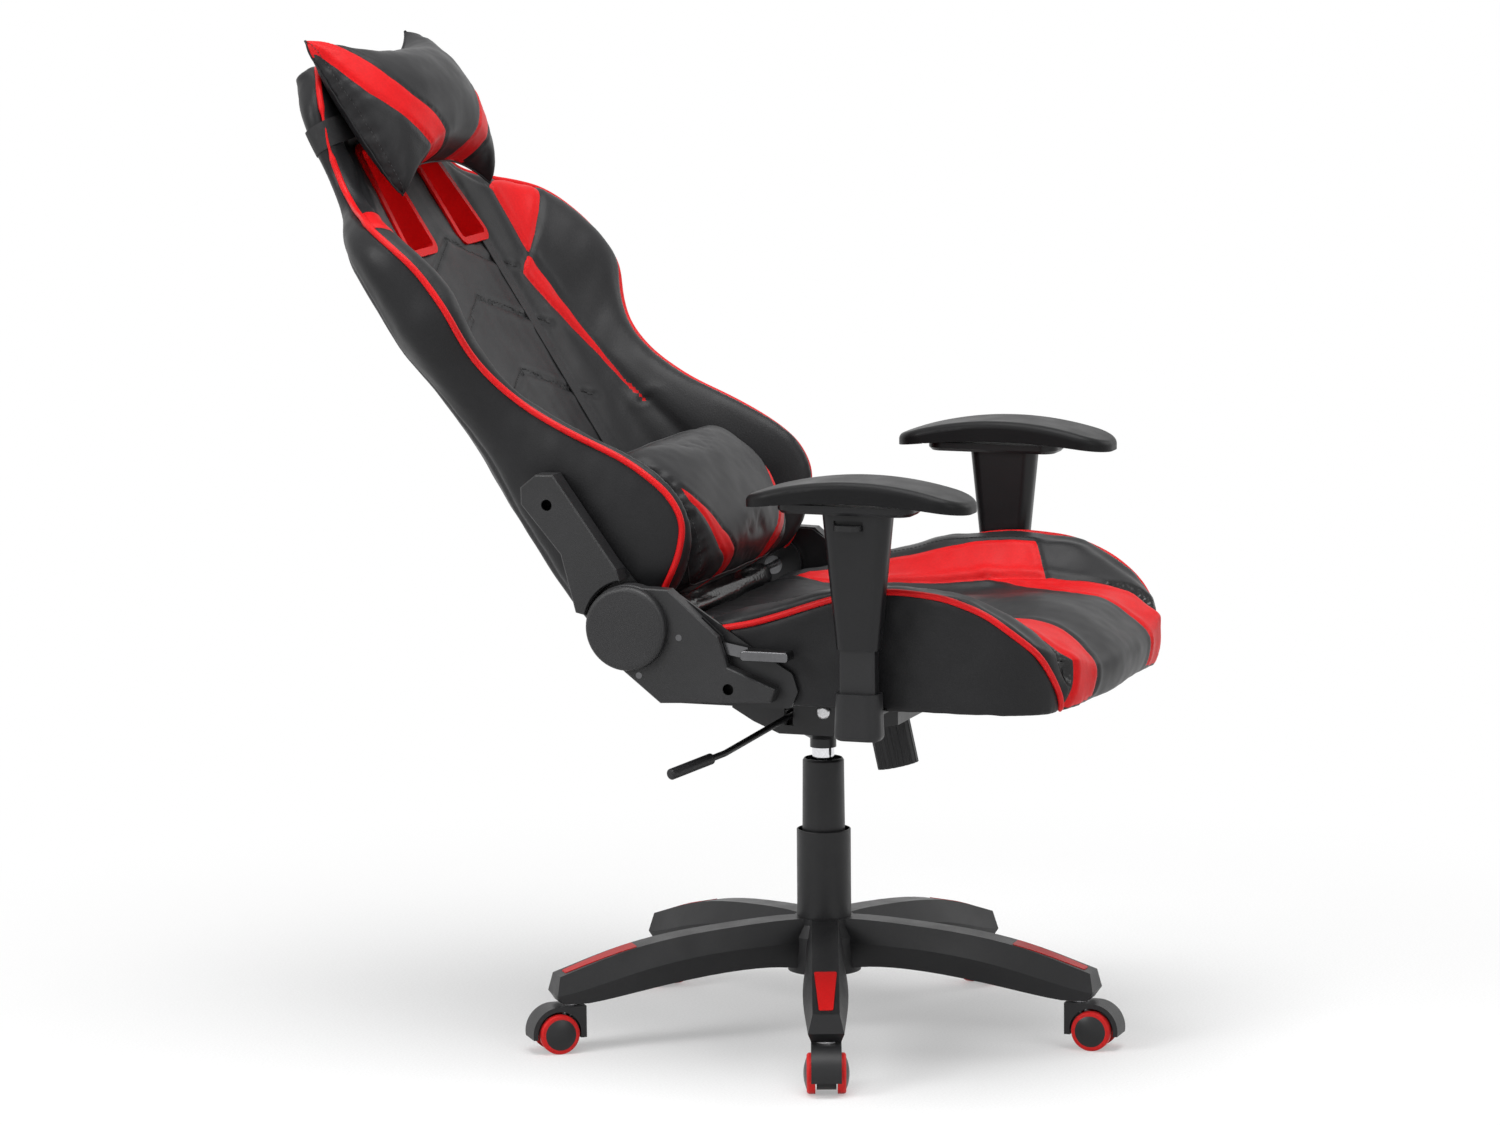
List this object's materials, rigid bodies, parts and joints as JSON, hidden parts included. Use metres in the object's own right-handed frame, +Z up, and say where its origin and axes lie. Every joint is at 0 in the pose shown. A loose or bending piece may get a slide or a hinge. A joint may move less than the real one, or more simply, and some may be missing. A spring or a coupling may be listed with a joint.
{
  "type": "gaming chair",
  "caption": "High-back swivel gaming chair with reclining back, tilting seat, gas lift, height-adjustable armrests, head and lumbar pillows and a star base on twin-wheel casters.",
  "frame": {"origin": "on the floor, on the gas column's axis", "axes": "+Z up; -Y towards the front of the seat; -X to the sitter's right"},
  "size_m": [0.7474, 1.0696, 1.2536],
  "materials": {
    "black_nylon": "satin",
    "red_plastic": "satin",
    "red_gloss": "gloss",
    "red_tyre": "matte",
    "hub_black": "gloss",
    "black_steel": "satin",
    "bright_steel": "satin",
    "chromed_steel": "polished",
    "plywood": "matte",
    "pad_polyurethane": "satin",
    "black_leather": "satin",
    "black_webbing": "matte"
  },
  "bodies": {
    "base": {"star_base": "black_nylon", "leg_inserts": "red_plastic", "caster_stems": "bright_steel", "column_tube": "black_steel", "lower_cover": "black_nylon", "thrust_bearing": "bright_steel"},
    "column_sleeve": {"upper_cover": "black_nylon"},
    "gas_rod": {"gas_rod": "bright_steel"},
    "tilt_base": {"pressure_tube": "chromed_steel", "tilt_housing": "black_steel", "pivot_bolt": "bright_steel", "tension_spring": "bright_steel"},
    "gas_lever": {"gas_lever_rod": "black_steel", "gas_lever_grip": "black_nylon"},
    "tension_knob": {"tension_knob": "black_nylon"},
    "seat": {"seat_plate": "black_steel", "seat_pan": "plywood", "seat_cushion": "black_leather", "seat_screws": "bright_steel", "arm_posts": "black_steel", "arm_feet": "black_nylon", "recliner_lower_brackets": "black_steel", "recliner_lower_covers": "black_nylon", "recliner_hub_caps": "black_nylon", "recliner_discs": "bright_steel", "recliner_spring": "bright_steel", "cover_screws": "bright_steel"},
    "recline_lever": {"recline_handle": "black_steel", "recliner_cross_rod": "bright_steel"},
    "arm_right": {"arm_sleeve_right": "black_nylon", "arm_pad_right": "pad_polyurethane"},
    "arm_left": {"arm_sleeve_left": "black_nylon", "arm_pad_left": "pad_polyurethane"},
    "arm_trigger_right": {"arm_trigger_right": "black_nylon"},
    "arm_trigger_left": {"arm_trigger_left": "black_nylon"},
    "backrest": {"back_frame": "black_steel", "back_cushion": "black_leather", "belt_bezels": "red_gloss", "head_pillow": "black_leather", "lumbar_pillow": "black_leather", "head_strap": "black_webbing", "lumbar_straps": "black_webbing", "recliner_upper_brackets": "black_steel", "recliner_upper_covers": "black_nylon"},
    "caster_1": {"caster_1_hood": "black_nylon"},
    "caster_1_wheels": {"caster_1_tyres": "red_tyre", "caster_1_hubs": "hub_black"},
    "caster_2": {"caster_2_hood": "black_nylon"},
    "caster_2_wheels": {"caster_2_tyres": "red_tyre", "caster_2_hubs": "hub_black"},
    "caster_3": {"caster_3_hood": "black_nylon"},
    "caster_3_wheels": {"caster_3_tyres": "red_tyre", "caster_3_hubs": "hub_black"},
    "caster_4": {"caster_4_hood": "black_nylon"},
    "caster_4_wheels": {"caster_4_tyres": "red_tyre", "caster_4_hubs": "hub_black"},
    "caster_5": {"caster_5_hood": "black_nylon"},
    "caster_5_wheels": {"caster_5_tyres": "red_tyre", "caster_5_hubs": "hub_black"}
  },
  "joints": [
    {"name": "seat_swivel", "type": "hinge", "parent": "base", "child": "gas_rod", "pos_m": [0, 0, 0.074], "axis": [0, 0, 1], "continuous": true},
    {"name": "gas_lift", "type": "slide", "parent": "gas_rod", "child": "tilt_base", "axis": [0, 0, 1], "range_m": [-0.075, 0.015]},
    {"name": "sleeve_slide", "type": "slide", "parent": "base", "child": "column_sleeve", "axis": [0, 0, 1], "range_m": [-0.0675, 0.0135]},
    {"name": "gas_lever_lift", "type": "hinge", "parent": "tilt_base", "child": "gas_lever", "pos_m": [-0.05, 0.025, 0.41], "axis": [0, 1, 0], "range_deg": [0, 6], "stiffness_Nm_per_rad": 2, "springref_deg": -11.46},
    {"name": "knob_turn", "type": "hinge", "parent": "tilt_base", "child": "tension_knob", "pos_m": [0, -0.087, 0.3999], "axis": [0, 0.2147, 0.9767], "continuous": true},
    {"name": "seat_tilt", "type": "hinge", "parent": "tilt_base", "child": "seat", "pos_m": [0, -0.023, 0.419], "axis": [-1, 0, 0], "range_deg": [0, 10], "stiffness_Nm_per_rad": 150, "springref_deg": -28.65},
    {"name": "recline", "type": "hinge", "parent": "seat", "child": "backrest", "pos_m": [0, 0.153, 0.551], "axis": [-1, 0, 0], "range_deg": [-27.5, 52.5]},
    {"name": "handle_lift", "type": "hinge", "parent": "seat", "child": "recline_lever", "pos_m": [-0.28, 0.153, 0.551], "axis": [-1, 0, 0], "range_deg": [0, 8], "stiffness_Nm_per_rad": 2, "springref_deg": -17.19},
    {"name": "arm_height_right", "type": "slide", "parent": "seat", "child": "arm_right", "axis": [0, 0, 1], "range_m": [-0.045, 0.03]},
    {"name": "trigger_right", "type": "slide", "parent": "arm_right", "child": "arm_trigger_right", "axis": [0, 0, 1], "range_m": [0, 0.004], "stiffness_N_per_m": 800, "springref_m": -0.003},
    {"name": "arm_height_left", "type": "slide", "parent": "seat", "child": "arm_left", "axis": [0, 0, 1], "range_m": [-0.045, 0.03]},
    {"name": "trigger_left", "type": "slide", "parent": "arm_left", "child": "arm_trigger_left", "axis": [0, 0, 1], "range_m": [0, 0.004], "stiffness_N_per_m": 800, "springref_m": -0.003},
    {"name": "caster_1_swivel", "type": "hinge", "parent": "base", "child": "caster_1", "pos_m": [-0.31557, -0.1094, 0.05], "axis": [0, 0, 1], "continuous": true},
    {"name": "caster_1_spin", "type": "hinge", "parent": "caster_1", "child": "caster_1_wheels", "pos_m": [-0.33353, -0.11562, 0.025], "axis": [0.3275, -0.9448, 0], "continuous": true},
    {"name": "caster_2_swivel", "type": "hinge", "parent": "base", "child": "caster_2", "pos_m": [0.00653, -0.33394, 0.05], "axis": [0, 0, 1], "continuous": true},
    {"name": "caster_2_spin", "type": "hinge", "parent": "caster_2", "child": "caster_2_wheels", "pos_m": [0.0069, -0.35293, 0.025], "axis": [0.9998, 0.0195, 0], "continuous": true},
    {"name": "caster_3_swivel", "type": "hinge", "parent": "base", "child": "caster_3", "pos_m": [0.31961, -0.09698, 0.05], "axis": [0, 0, 1], "continuous": true},
    {"name": "caster_3_spin", "type": "hinge", "parent": "caster_3", "child": "caster_3_wheels", "pos_m": [0.33779, -0.1025, 0.025], "axis": [0.2904, 0.9569, 0], "continuous": true},
    {"name": "caster_4_swivel", "type": "hinge", "parent": "base", "child": "caster_4", "pos_m": [0.191, 0.274, 0.05], "axis": [0, 0, 1], "continuous": true},
    {"name": "caster_4_spin", "type": "hinge", "parent": "caster_4", "child": "caster_4_wheels", "pos_m": [0.20187, 0.28958, 0.025], "axis": [-0.8204, 0.5719, 0], "continuous": true},
    {"name": "caster_5_swivel", "type": "hinge", "parent": "base", "child": "caster_5", "pos_m": [-0.20156, 0.26632, 0.05], "axis": [0, 0, 1], "continuous": true},
    {"name": "caster_5_spin", "type": "hinge", "parent": "caster_5", "child": "caster_5_wheels", "pos_m": [-0.21303, 0.28147, 0.025], "axis": [-0.7974, -0.6035, 0], "continuous": true}
  ],
  "couplings": [
    {"joint": "sleeve_slide", "follows": "gas_lift", "ratio": 0.9}
  ]
}
